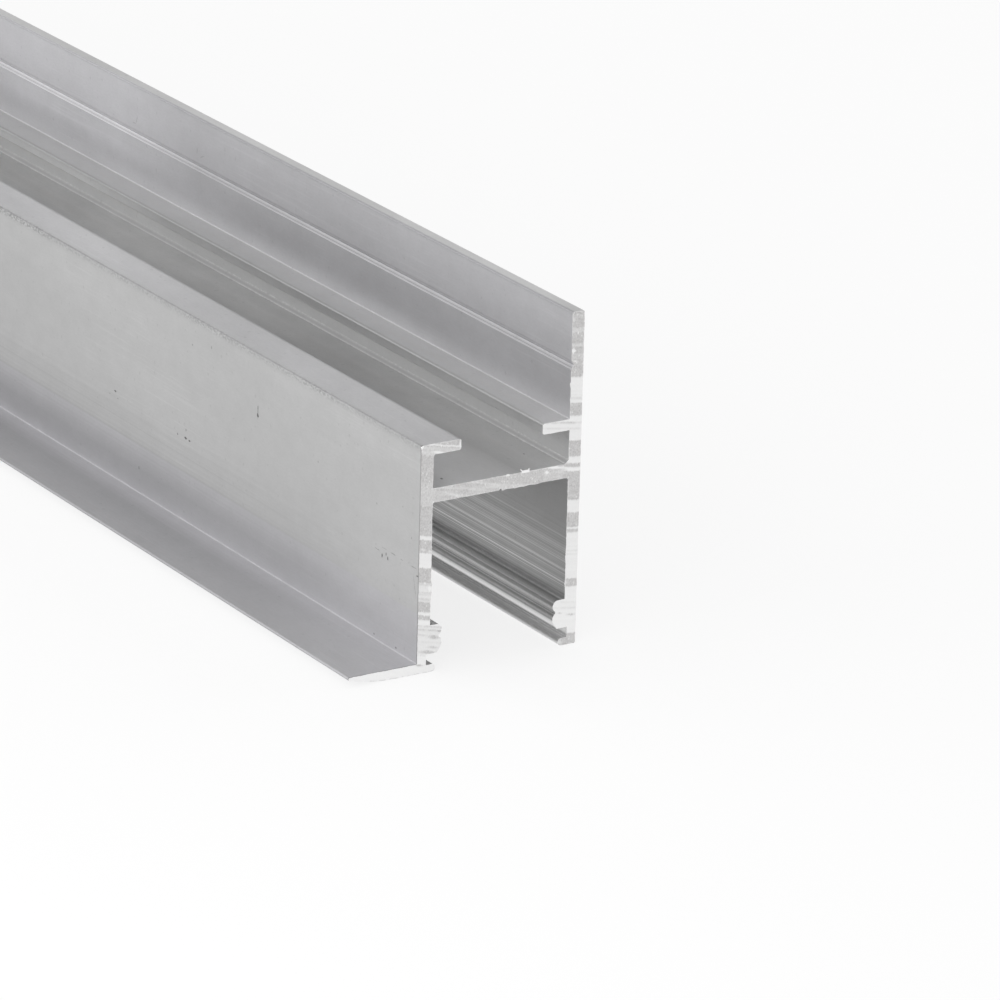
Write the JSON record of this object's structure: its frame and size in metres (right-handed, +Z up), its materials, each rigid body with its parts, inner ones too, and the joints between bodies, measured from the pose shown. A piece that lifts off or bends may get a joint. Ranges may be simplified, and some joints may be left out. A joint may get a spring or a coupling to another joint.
{
  "type": "aluminium extrusion profile",
  "caption": "Straight bar of mill-finish aluminium extrusion with an uneven H section: a panel channel with gripping beads, a lipped key slot, a cover flange and a tall screw leg.",
  "frame": {"origin": "middle of the base: half way along the bar, half way across its overall width, on the plane of the flange's flat and the tall wall's toe", "axes": "+Y along the bar, away from the cut end in the picture; +X across it, from the cover flange to the tall wall; +Z up"},
  "size_m": [0.0376, 1, 0.05],
  "materials": {
    "mill_aluminium": "mill finish, with fine die lines along the bar and sawn ends"
  },
  "bodies": {
    "root": {"extrusion_bar": "mill_aluminium"}
  },
  "joints": []
}
